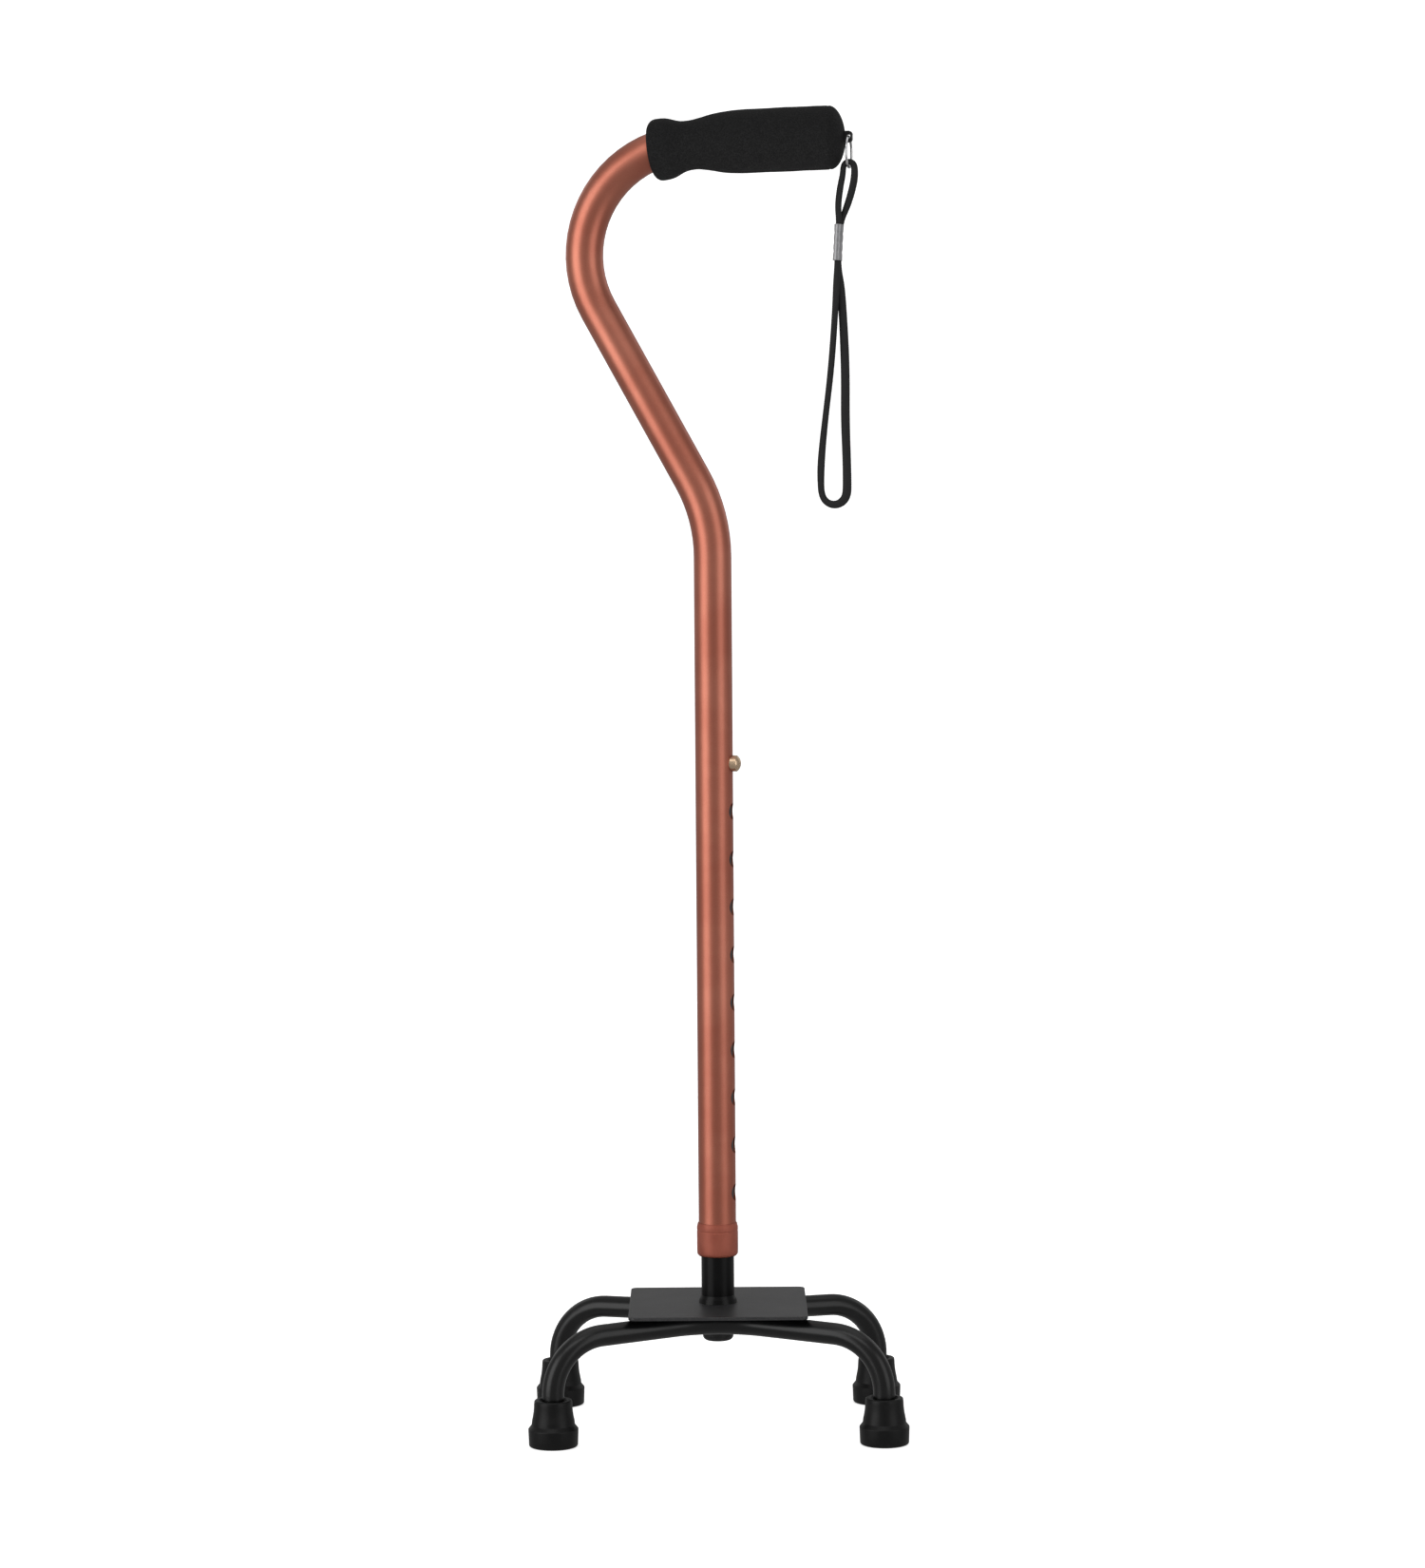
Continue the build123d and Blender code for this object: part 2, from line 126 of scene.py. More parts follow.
def skin(name, grid, caps=(), ringClosed=True, rowsClosed=False):
    # grid[row, column] is a point; columns run round the piece, rows run along it. A capped end closes on one
    # point in the middle of its row. The uv map is distance round and distance along, in metres.
    rows, columns = grid.shape[:2]
    points = grid.reshape(-1, 3)
    rowList = np.arange(rows if rowsClosed else rows - 1)
    columnList = np.arange(columns if ringClosed else columns - 1)
    row, column = np.meshgrid(rowList, columnList, indexing="ij")
    nextRow, nextColumn = (row + 1) % rows, (column + 1) % columns
    corner = [row * columns + column, row * columns + nextColumn,
              nextRow * columns + nextColumn, nextRow * columns + column]
    quads = np.stack(corner, -1).reshape(-1, 4)
    middle = grid.mean(1)
    along = np.concatenate([[0], np.cumsum(np.linalg.norm(np.diff(middle, axis=0), axis=1))])
    stepRound = np.linalg.norm(np.diff(grid, axis=1), axis=2).mean()
    stepAlong = np.append(along, along[-1] + np.linalg.norm(middle[-1] - middle[0]))
    before, after = column * stepRound, (column + 1) * stepRound
    low, high = stepAlong[row], stepAlong[row + 1]
    uvCorners = [np.stack(pair, -1) for pair in ((before, low), (after, low), (after, high), (before, high))]
    faces, uvs = quads.tolist(), np.stack(uvCorners, 2).reshape(-1, 2).tolist()
    for end in caps:
        endRow = 0 if end == "start" else rows - 1
        ring = np.arange(columns) + endRow * columns
        points = np.vstack([points, grid[endRow].mean(0)])
        pole = len(points) - 1
        pair = np.stack([ring, np.roll(ring, -1)], -1)
        if end == "start":
            pair = pair[:, ::-1]
        faces += np.column_stack([pair, np.full(columns, pole)]).tolist()
        capRound = (np.arange(columns)[:, None] + np.array([0, 1, 0.5])) * stepRound
        uvs += np.stack([capRound, np.full((columns, 3), along[endRow])], -1).reshape(-1, 2).tolist()
    piece = putMesh(name, points, faces, uvs)
    if signedVolume(piece) < 0:
        piece.data.flip_normals()
    return piece


def signedVolume(piece):
    # six times a closed shape's volume is the sum of its triangles' triple products
    mesh = piece.data
    mesh.calc_loop_triangles()
    points = np.empty(len(mesh.vertices) * 3)
    mesh.vertices.foreach_get("co", points)
    points = points.reshape(-1, 3)
    triangles = np.empty(len(mesh.loop_triangles) * 3, int)
    mesh.loop_triangles.foreach_get("vertices", triangles)
    a, b, c = (points[triangles.reshape(-1, 3)[:, index]] for index in range(3))
    return float(np.einsum("ij,ij->i", a, np.cross(b, c)).sum())


def ripple(points, size, seed):
    # smooth unevenness between -1 and 1: waves in fixed random directions, added up
    rng = np.random.default_rng(seed)
    total = np.zeros(points.shape[:-1])
    waves = 9
    for _ in range(waves):
        direction = rng.normal(size=3)
        direction *= rng.uniform(0.6, 1.5) / np.linalg.norm(direction)
        total += np.sin(points @ direction * 2 * pi / size + rng.uniform(0, 2 * pi))
    return total / waves ** 0.5 / 1.5


def roundCorners(outline, radii, steps=6):
    # every corner of an outline is swapped for an arc that touches both of its sides
    outline = np.asarray(outline, float)
    result = [outline[:1]]
    for index in range(1, len(outline) - 1):
        before, corner, after = outline[index - 1:index + 2]
        toBefore = (before - corner) / np.linalg.norm(before - corner)
        toAfter = (after - corner) / np.linalg.norm(after - corner)
        half = np.arccos(np.clip(toBefore @ toAfter, -1, 1)) / 2
        radius = radii[index]
        if radius == 0 or half > pi / 2 - 1e-3:
            result.append(corner[None])
            continue
        reach = radius / np.tan(half)
        centre = corner + (toBefore + toAfter) / np.linalg.norm(toBefore + toAfter) * radius / np.sin(half)
        start, end = corner + toBefore * reach - centre, corner + toAfter * reach - centre
        turn = np.arctan2(start[0] * end[1] - start[1] * end[0], start @ end)
        angles = np.linspace(0, turn, steps + 1)
        spun = np.stack([start[0] * np.cos(angles) - start[1] * np.sin(angles),
                         start[0] * np.sin(angles) + start[1] * np.cos(angles)], -1)
        result.append(centre + spun)
    result.append(outline[-1:])
    return np.vstack(result)


def lathe(name, outline, centre, columns=96, closed=False):
    # the outline's (radius, height) points go round an upright axis through centre
    outline = np.asarray(outline, float)
    angles = np.linspace(0, 2 * pi, columns, endpoint=False)
    grid = np.empty((len(outline), columns, 3))
    grid[..., 0] = centre[0] + outline[:, :1] * np.cos(angles)
    grid[..., 1] = centre[1] + outline[:, :1] * np.sin(angles)
    grid[..., 2] = centre[2] + outline[:, 1:]
    if closed:
        return skin(name, grid, rowsClosed=True)
    return skin(name, grid, caps=("start", "end"))


# ---- materials

class Socket:
    # a number inside a material's nodes; arithmetic on it adds Math nodes
    def __init__(self, finish, link):
        self.finish, self.link = finish, link

    def maths(self, operation, other, swapped=False):
        pair = (other, self) if swapped else (self, other)
        return self.finish.add("ShaderNodeMath", {"operation": operation}, {0: pair[0], 1: pair[1]})

    def __add__(self, other):
        return self.maths("ADD", other)

    def __radd__(self, other):
        return self.maths("ADD", other, True)

    def __sub__(self, other):
        return self.maths("SUBTRACT", other)

    def __rsub__(self, other):
        return self.maths("SUBTRACT", other, True)

    def __mul__(self, other):
        return self.maths("MULTIPLY", other)

    def __rmul__(self, other):
        return self.maths("MULTIPLY", other, True)


class Finish:
    # one material; add() makes any node, and the shorter methods build on it
    def __init__(self, name, **fixed):
        self.material = bpy.data.materials.new(name)
        self.material.use_nodes = True
        self.tree = self.material.node_tree
        self.shader = self.tree.nodes["Principled BSDF"]
        for socketName, value in fixed.items():
            self.shader.inputs[socketName.replace("_", " ")].default_value = value
        self.place = self.add("ShaderNodeTexCoord", {}, {}, "Object")

    def add(self, kind, settings, inputs, output=0):
        node = self.tree.nodes.new(kind)
        for setting, value in settings.items():
            setattr(node, setting, value)
        for socketName, value in inputs.items():
            if isinstance(value, Socket):
                self.tree.links.new(value.link, node.inputs[socketName])
            else:
                node.inputs[socketName].default_value = value
        return Socket(self, node.outputs[output])

    def feed(self, **values):
        for socketName, value in values.items():
            self.tree.links.new(value.link, self.shader.inputs[socketName.replace("_", " ")])
        return self.material

    def stretched(self, scale):
        return self.add("ShaderNodeMapping", {}, {"Vector": self.place, "Scale": scale})

    def noise(self, scale, detail=2.0, rough=0.5, where=None):
        inputs = {"Vector": where or self.place, "Scale": scale, "Detail": detail, "Roughness": rough}
        return self.add("ShaderNodeTexNoise", {}, inputs)

    def cells(self, scale, output="Distance"):
        inputs = {"Vector": self.place, "Scale": scale}
        return self.add("ShaderNodeTexVoronoi", {"feature": "F1"}, inputs, output)

    def between(self, value, low, high, toLow=0.0, toHigh=1.0):
        inputs = {"Value": value, "From Min": low, "From Max": high, "To Min": toLow, "To Max": toHigh}
        return self.add("ShaderNodeMapRange", {"interpolation_type": "SMOOTHSTEP"}, inputs)

    def blendColours(self, factor, first, second):
        first, second = ((*c, 1) if isinstance(c, tuple) else c for c in (first, second))
        return self.add("ShaderNodeMix", {"data_type": "RGBA"}, {0: factor, 6: first, 7: second}, 2)

    def axis(self, name):
        return self.add("ShaderNodeSeparateXYZ", {}, {0: self.place}, name)

    def bump(self, height, distance, strength=1.0, under=None):
        inputs = {"Height": height, "Distance": distance, "Strength": strength}
        if under is not None:
            inputs["Normal"] = under
        return self.add("ShaderNodeBump", {}, inputs)


def clothe(finish, *pieces):
    for piece in pieces:
        piece.data.materials.clear()
        piece.data.materials.append(finish)


copperRed = {"base": (0.575, 0.205, 0.138), "deep": (0.49, 0.152, 0.098), "rough": 0.40, "grain": 1900,
             "drawLines": 1500, "coatLow": 0.20, "coatHigh": 0.32}


def makeCopperRed():
    # satin anodised aluminium: etched grain, and faint lines left by drawing along the straight of the tube
    f = Finish("copperRedAnodised", Metallic=1.0, Coat_Roughness=0.22, Coat_IOR=1.5)
    grain = f.noise(copperRed["grain"], 3)
    lines = f.noise(copperRed["drawLines"], 2, 0.6, f.stretched((1, 1, 0.012)))
    straight = f.between(f.axis("Z"), 0.50, 0.54, 1.0, 0.0)
    clouds = f.noise(26, 3)
    tint = f.between(clouds + grain * 0.25, 0.42, 0.78)
    colour = f.blendColours(tint, copperRed["base"], copperRed["deep"])
    rough = copperRed["rough"] - 0.04 + grain * 0.06 + lines * straight * 0.05 + clouds * 0.04
    fine = f.bump(grain, 0.000012, 0.6)
    normal = f.bump(lines * straight, 0.000010, 0.5, fine)
    coat = f.between(clouds, 0.3, 0.8, copperRed["coatLow"], copperRed["coatHigh"])
    return f.feed(Base_Color=colour, Roughness=rough, Normal=normal, Coat_Weight=coat)


foamLook = {"dark": (0.0050, 0.0050, 0.0052), "light": (0.0125, 0.0125, 0.0127), "cell": 1250, "coarse": 420}


def makeFoam():
    # closed-cell foam: burst cells, a coarser unevenness, and a few pale specks of dust; the colour follows the
    # bump's height, so the pits and hollows carry painted shade
    f = Finish("gripFoam", Specular_IOR_Level=0.12)
    cell = f.cells(foamLook["cell"])
    coarse = f.noise(foamLook["coarse"], 4, 0.65)
    speck = f.between(f.noise(2300, 1), 0.70, 0.80)
    # painted shade: the colour is darker where the cells and the unevenness are low, and lighter where they are
    # high
    depth = f.between(cell * 0.7 + coarse * 0.6, 0.35, 0.95)
    shade = f.blendColours(depth, foamLook["dark"], foamLook["light"])
    colour = f.blendColours(speck * 0.35, shade, (0.07, 0.07, 0.07))
    normal = f.bump(coarse, 0.00016, 0.7, f.bump(cell, 0.00018, 0.8))
    return f.feed(Base_Color=colour, Roughness=f.between(coarse, 0.3, 0.8, 0.74, 0.9), Normal=normal)


blackPaint = {"base": (0.0016, 0.0016, 0.0017), "worn": (0.0060, 0.0060, 0.0062), "peel": 760}


def makeBlackPaint(name, shine):
    # satin powder coat on steel tube: orange peel, and a little dust and rubbing
    f = Finish(name, Specular_IOR_Level=shine)
    peel = f.noise(blackPaint["peel"], 2)
    dust = f.between(f.noise(60, 5, 0.7), 0.52, 0.80)
    colour = f.blendColours(dust * 0.5, blackPaint["base"], blackPaint["worn"])
    rough = 0.26 + dust * 0.10 + peel * 0.06
    return f.feed(Base_Color=colour, Roughness=rough, Normal=f.bump(peel, 0.00002, 0.5))


plateLook = {"base": (0.022, 0.022, 0.023), "light": (0.034, 0.034, 0.035), "fleck": 1500}


def makePlatePaint():
    # grey powder coat with a fine metallic fleck
    f = Finish("greyPowderCoat", Metallic=0.25, Specular_IOR_Level=0.5)
    fleck = f.cells(plateLook["fleck"], output="Color")
    fleckValue = f.add("ShaderNodeSeparateColor", {}, {0: fleck}, 0)
    cloud = f.noise(34, 3)
    shade = f.between(fleckValue * 0.6 + cloud * 0.5, 0.3, 0.95)
    colour = f.blendColours(shade, plateLook["base"], plateLook["light"])
    peel = f.noise(620, 2)
    return f.feed(Base_Color=colour, Roughness=0.38 + cloud * 0.10, Normal=f.bump(peel, 0.00005, 0.5))


rubberLook = {"base": (0.0020, 0.0020, 0.0021), "dusty": (0.015, 0.0147, 0.0143)}


def makeRubber():
    # moulded rubber: fine sand texture of the mould, dust near the sole
    f = Finish("tipRubber", Specular_IOR_Level=0.24)
    sand = f.noise(1700, 3)
    low = f.between(f.axis("Z"), 0.0, 0.006, 1.0, 0.0)
    dust = f.between(f.noise(140, 5, 0.7), 0.45, 0.75)
    colour = f.blendColours(dust * (0.12 + low * 0.4), rubberLook["base"], rubberLook["dusty"])
    rough = 0.36 + dust * 0.14 + sand * 0.06
    return f.feed(Base_Color=colour, Roughness=rough, Normal=f.bump(sand, 0.00005, 0.5))


collarLook = {"base": (0.34, 0.092, 0.058), "deep": (0.28, 0.068, 0.042)}


def makeCollarPlastic():
    f = Finish("collarPlastic", Specular_IOR_Level=0.4, Metallic=0.45)
    spark = f.noise(900, 3)
    cloud = f.noise(80, 2)
    colour = f.blendColours(f.between(cloud, 0.35, 0.7), collarLook["base"], collarLook["deep"])
    return f.feed(Base_Color=colour, Roughness=0.42 + spark * 0.10, Normal=f.bump(spark, 0.00005, 0.5))


def makeMetal(name, colour, rough, tint, brush=(1, 1, 0.05), scale=900, depth=0.00001):
    # bare metal with a brushed grain along one axis and a little tarnish
    f = Finish(name, Metallic=1.0)
    brushed = f.noise(scale, 3, 0.6, f.stretched(brush))
    stain = f.between(f.noise(130, 4, 0.6), 0.45, 0.8)
    mixed = f.blendColours(stain * 0.6, colour, tint)
    uneven = rough + brushed * 0.10 + stain * 0.08
    return f.feed(Base_Color=mixed, Roughness=uneven, Normal=f.bump(brushed, depth, 0.6))


def makePlastic(name, colour, rough):
    f = Finish(name, Specular_IOR_Level=0.3)
    sand = f.noise(1300, 3)
    cloud = f.noise(90, 3)
    paler = tuple(min(1.0, channel * 1.35 + 0.004) for channel in colour)
    mixed = f.blendColours(f.between(cloud, 0.35, 0.75), colour, paler)
    return f.feed(Base_Color=mixed, Roughness=rough + sand * 0.12, Normal=f.bump(sand, 0.00004, 0.5))


cordLook = {"dark": (0.0030, 0.0030, 0.0033), "light": (0.0125, 0.0125, 0.0132), "fibre": 5200, "slant": 0.7}


def makeCordWeave():
    # polyester braid: fibres lie along each bundle, so the uv map is sheared both ways and mixed
    f = Finish("strapBraid", Specular_IOR_Level=0.3)
    surface = f.add("ShaderNodeUVMap", {"uv_map": "surface"}, {})
    fibres, crossed = (
        f.noise(cordLook["fibre"], 2, 0.6, f.add("ShaderNodeMapping", {}, {
            "Vector": surface, "Scale": (1, 0.16, 1), "Rotation": (0, 0, slant)}))
        for slant in (cordLook["slant"], -cordLook["slant"]))
    raised = f.add("ShaderNodeAttribute", {"attribute_name": "raised"}, {}, "Fac")
    fuzz = fibres * 0.5 + crossed * 0.5
    # painted shade: the braid is darker where it lies low between the bundles and lighter on the raised bundles;
    # the fibre noise is the cord's own tone
    shade = f.between(raised * 0.7 + fuzz * 0.6, 0.25, 1.05)
    colour = f.blendColours(shade, cordLook["dark"], cordLook["light"])
    return f.feed(Base_Color=colour, Roughness=0.62 + fuzz * 0.22, Normal=f.bump(fuzz, 0.00010, 0.7))


# ---- wrist strap

# the strap's route from inside its sleeve, up, over the ring's lowest point, down through the sleeve, round
# the wrist loop and back: metres along the handle, across it, and up, from the ring's lowest point
strap = {
    "diameter": 0.0045, "length": 0.407, "bundles": 12, "lay": 0.015, "relief": 0.00017, "ringStep": 0.00026,
    "columns": 60, "wide": 0.0026, "thin": 0.0019, "bundleShape": 0.7, "lowerBundle": 0.35, "uneven": 0.03,
    "unevenLength": 0.045, "turnOver": 41,
    # how the strap's oval section changes along it: distance, degrees its long side is turned, and size
    "twist": [(0.0, 5, 0.77), (0.009, 10, 0.78), (0.016, 28, 0.95), (0.032, 32, 0.98), (0.045, 4, 0.90),
              (0.058, 30, 0.98), (0.076, 26, 0.95), (0.086, 8, 0.78), (0.108, 8, 0.78), (0.122, 52, 0.95),
              (0.150, 80, 1.0), (0.236, 84, 1.0), (0.252, 40, 1.0), (0.262, 22, 1.0), (0.276, 52, 1.0),
              (0.300, 22, 1.0), (0.365, 14, 0.98), (0.384, 40, 0.92), (0.397, 8, 0.78), (0.407, 5, 0.77)],
    "route": [
        (-0.0064, -0.0023, -0.0423), (-0.0056, -0.0023, -0.0315), (-0.0062, -0.0017, -0.021),
        (-0.00499, -0.0007, -0.011), (-0.0036, -0.0001, -0.0042), (-0.0032, 0.0, 0.00133),
        (-0.00133, 0.0, 0.0032), (0.00133, 0.0, 0.0032), (0.0032, 0.0, 0.00133), (0.0034, 0.0001, -0.0042),
        (0.00221, 0.0006, -0.011), (-0.001, 0.0016, -0.021), (-0.0056, 0.0023, -0.0315),
        (-0.0071, 0.0023, -0.055), (-0.0052, 0.0019, -0.07), (-0.0038, 0.0014, -0.092),
        (-0.0028, 0.0008, -0.117), (-0.003, 0.0003, -0.144), (-0.0022, 0.0, -0.167),
        (-0.002, 0.0001, -0.18), (-0.0022, 0.0, -0.189), (-0.0066, 0.0, -0.1935), (-0.0126, 0.0, -0.1935),
        (-0.017, 0.0, -0.189), (-0.0176, -0.0001, -0.179), (-0.017, 0.0, -0.165),
        (-0.0146, -0.0004, -0.144), (-0.0113, -0.0009, -0.119), (-0.0092, -0.0014, -0.096),
        (-0.0078, -0.0019, -0.076), (-0.0071, -0.0023, -0.06), (-0.0065, -0.0023, -0.0433),
    ],
}
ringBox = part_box("strap_ring")
ringWire = 0.0007
ringLow = np.array([*((ringBox[0] + ringBox[1]) / 2).to_tuple()[:2], ringBox[0].z + ringWire])


def fromRing(along, across, up):
    return ringLow + along * alongHandle + across * acrossHandle + up * upward


def smoothRoute(points):
    # the smooth NURBS line that has the route's points as its control points, as evenly spaced points
    line = bpy.data.curves.new("strapLine", "CURVE")
    line.dimensions = "3D"
    line.resolution_u = 24
    spline = line.splines.new("NURBS")
    spline.points.add(len(points) - 1)
    for point, place in zip(spline.points, points):
        point.co = (*place, 1)
    spline.order_u = 3
    spline.use_endpoint_u = True
    lineObject = bpy.data.objects.new("strapLine", line)
    bpy.context.scene.collection.objects.link(lineObject)
    bpy.context.view_layer.update()
    mesh = bpy.data.meshes.new_from_object(lineObject)
    found = np.empty(len(mesh.vertices) * 3)
    mesh.vertices.foreach_get("co", found)
    found = found.reshape(-1, 3)
    bpy.data.objects.remove(lineObject)
    bpy.data.meshes.remove(mesh)
    return found


def evenly(line, step):
    along = np.concatenate([[0], np.cumsum(np.linalg.norm(np.diff(line, axis=0), axis=1))])
    count = max(2, int(round(along[-1] / step)) + 1)
    at = np.linspace(0, along[-1], count)
    return np.stack([np.interp(at, along, line[:, axis]) for axis in range(3)], -1), at


def makeStrap():
    route = np.array([fromRing(*point) for point in strap["route"]])
    centres, along = evenly(smoothRoute(route), strap["ringStep"])
    tangent = np.gradient(centres, axis=0)
    tangent /= np.linalg.norm(tangent, axis=1)[:, None]
    side = acrossHandle - (tangent @ acrossHandle)[:, None] * tangent
    side /= np.linalg.norm(side, axis=1)[:, None]
    front = np.cross(tangent, side)
    angle = np.linspace(0, 2 * pi, strap["columns"], endpoint=False)[None, :]
    # a braid of two sets of bundles that wind opposite ways: across each bundle its height is a rounded bump,
    # and the two sets take turns to be on top, once every half bundle along the cord
    winding = 2 * pi * along[:, None] / strap["lay"]
    count = strap["bundles"]
    bumpOne = np.abs(np.cos((angle + winding) * count / 2)) ** strap["bundleShape"]
    bumpTwo = np.abs(np.cos((angle - winding) * count / 2)) ** strap["bundleShape"]
    turnOne = 0.5 + 0.5 * np.cos(count * winding)
    under, over = strap["lowerBundle"], 1 - strap["lowerBundle"]
    height = np.maximum(bumpOne * (under + over * turnOne), bumpTwo * (under + over * (1 - turnOne)))
    line = np.stack([along, along * 0, along * 0], -1)
    uneven = strap["uneven"] * ripple(line, strap["unevenLength"], 11)[:, None]
    # the section is an oval whose long axis turns along the strap; in the sleeve it is squeezed rounder
    place, degree, size = np.array(strap["twist"]).T
    window = np.ones(strap["turnOver"]) / strap["turnOver"]
    edge = len(window) // 2
    turn, size = (np.convolve(np.pad(np.interp(along, place, values), edge, "edge"), window, "valid")
                  for values in (np.radians(degree), size))
    turn, size = turn[:, None], size[:, None]
    wide, thin = strap["wide"], strap["thin"]
    across = wide * np.cos(angle) * np.cos(turn) - thin * np.sin(angle) * np.sin(turn)
    out = wide * np.cos(angle) * np.sin(turn) + thin * np.sin(angle) * np.cos(turn)
    scale = (size * (1 + uneven) - strap["relief"] * (1 - height) / (strap["diameter"] / 2))[..., None]
    grid = centres[:, None] + scale * (across[..., None] * side[:, None] + out[..., None] * front[:, None])
    piece = skin("wristStrap", grid, caps=("start", "end"))
    # the braid's height is kept on the points, and the cord's material uses it to paint shade into the low parts
    # between the bundles
    raised = piece.data.attributes.new("raised", "FLOAT", "POINT")
    raised.data.foreach_set("value", np.concatenate([height.ravel(), [0, 0]]))
    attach(piece, "strap")
    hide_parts("wrist_strap")
    return piece, centres, route[0]


# ---- crimped sleeve of the strap

sleeve = {"bottom": (-0.0070, -0.0530), "top": (-0.00585, -0.0326), "wide": 0.0097, "thick": 0.0047,
          "wall": 0.00035, "rows": 90, "columns": 144, "dent": 0.11, "dentAt": (0.24, 0.5, 0.76),
          "dentWidth": 0.055, "dentSpread": 0.05, "lipRise": 0.008, "lipRows": 7, "flare": 0.035,
          "flareLength": 0.04, "flatness": 3.2, "seamDepth": 0.00030, "seamWidth": 0.055}


def makeSleeve():
    # an oval tube: its outer wall, its two lips and its inner wall are one closed profile carried round
    low = fromRing(sleeve["bottom"][0], 0, sleeve["bottom"][1])
    high = fromRing(sleeve["top"][0], 0, sleeve["top"][1])
    axis = (high - low) / np.linalg.norm(high - low)
    front = np.cross(axis, acrossHandle)
    part = np.linspace(0, 1, sleeve["rows"])
    lipTurn = np.linspace(0, pi, sleeve["lipRows"])[1:-1]
    lip, rise = 0.5 - 0.5 * np.cos(lipTurn), sleeve["lipRise"] * np.sin(lipTurn)
    depth = np.concatenate([np.zeros(len(part)), lip, np.ones(len(part)), 1 - lip])
    share = np.concatenate([part, 1 + rise, part[::-1], -rise])
    angle = np.linspace(0, 2 * pi, sleeve["columns"], endpoint=False)
    dents = sum(np.exp(-((share - at) / sleeve["dentWidth"]) ** 2) for at in sleeve["dentAt"])
    mouths = sum(np.exp(-(away / sleeve["flareLength"]) ** 2) for away in (share, 1 - share))
    flare = 1 + sleeve["flare"] * mouths
    pinch = (1 - sleeve["dent"] * dents) * flare
    halfThick = sleeve["thick"] / 2 - depth * sleeve["wall"]
    straight = (sleeve["wide"] - sleeve["thick"]) / 2
    seam = np.exp(-((np.mod(angle - pi / 2 + pi, 2 * pi) - pi) / sleeve["seamWidth"]) ** 2)
    reach = halfThick[:, None] * pinch[:, None] - sleeve["seamDepth"] * (1 - depth)[:, None] * seam[None]
    flat = straight * np.tanh(sleeve["flatness"] * np.cos(angle))[None]
    across = flat * (1 + sleeve["dentSpread"] * dents)[:, None] + reach * np.cos(angle)[None]
    out = reach * np.sin(angle)[None]
    length = np.linalg.norm(high - low)
    centre = low + (share * length)[:, None] * axis
    grid = centre[:, None] + across[..., None] * acrossHandle - out[..., None] * front
    piece = skin("strapSleeve", grid, rowsClosed=True)
    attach(piece, "strap")
    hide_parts("strap_ferrule")
    return piece


# ---- foam grip

grip = {"hook": (-0.0116, 0.6857), "hookRadius": 0.0636, "rise": radians(1.0), "length": 0.1050,
        "domeStart": 0.0704, "boreRows": 60, "dome": 0.0090, "bendAt": 0.031, "bend": radians(6.0),
        "bendRadius": 0.180, "radius": 0.0184,
        "flare": 0.0179, "neckAt": 0.0240, "neck": 0.0143, "neckBefore": 0.01045, "neckAfter": 0.0152,
        "rimAlong": 0.0048, "rimAcross": 0.0049, "bore": 0.01102, "boreEnd": 0.0697, "creaseDepth": 0.00028,
        "creaseWidth": 0.0007, "columns": 168, "unevenness": 0.00010}


def handlePoint(distance):
    # the tube's centre line: a straight handle for positive distances, the hook's arc for negative ones
    hookAlong, hookUp = grip["hook"]
    bend = grip["rise"] + np.where(distance < 0, -distance / grip["hookRadius"], 0)
    ahead = np.where(distance > 0, distance, 0)
    along = hookAlong - grip["hookRadius"] * np.sin(bend) + ahead * np.cos(grip["rise"])
    up = hookUp + grip["hookRadius"] * np.cos(bend) + ahead * np.sin(grip["rise"])
    centre = along[:, None] * alongHandle + up[:, None] * upward
    normal = -np.sin(bend)[:, None] * alongHandle + np.cos(bend)[:, None] * upward
    return centre, normal


def gripPoint(distance, bodyEnd):
    # the foam's own centre line, measured from its flared end: straight, then one slow bend near the flare;
    # its points are summed back from the end of the body in small steps
    reach = grip["bendRadius"] * grip["bend"] / 2
    fine = np.linspace(0, grip["length"], 900)
    steep = grip["rise"] + grip["bend"] * np.clip((grip["bendAt"] + reach - fine) / (2 * reach), 0, 1)
    heading = np.cos(steep)[:, None] * alongHandle + np.sin(steep)[:, None] * upward
    steps = (heading[1:] + heading[:-1]) / 2 * (fine[1] - fine[0])
    line = bodyEnd - np.vstack([np.cumsum(steps[::-1], 0)[::-1], np.zeros(3)])
    centre = np.stack([np.interp(distance, fine, line[:, axis]) for axis in range(3)], -1)
    centre = centre + np.clip(distance - grip["length"], 0, None)[:, None] * heading[-1]
    tilt = np.interp(distance, fine, steep)
    return centre, -np.sin(tilt)[:, None] * alongHandle + np.cos(tilt)[:, None] * upward


def gripRadius(along):
    # a flare and a body with a neck between: each side of the neck is one half of a bell curve
    before = np.exp(-(np.abs(along - grip["neckAt"]) / grip["neckBefore"]) ** 3.0)
    after = np.exp(-(np.abs(along - grip["neckAt"]) / grip["neckAfter"]) ** 1.8)
    crease = np.exp(-((along - grip["length"]) / grip["creaseWidth"]) ** 2)
    left = grip["flare"] - (grip["flare"] - grip["neck"]) * before
    right = grip["radius"] - (grip["radius"] - grip["neck"]) * after
    return np.where(along < grip["neckAt"], left, right) - grip["creaseDepth"] * crease


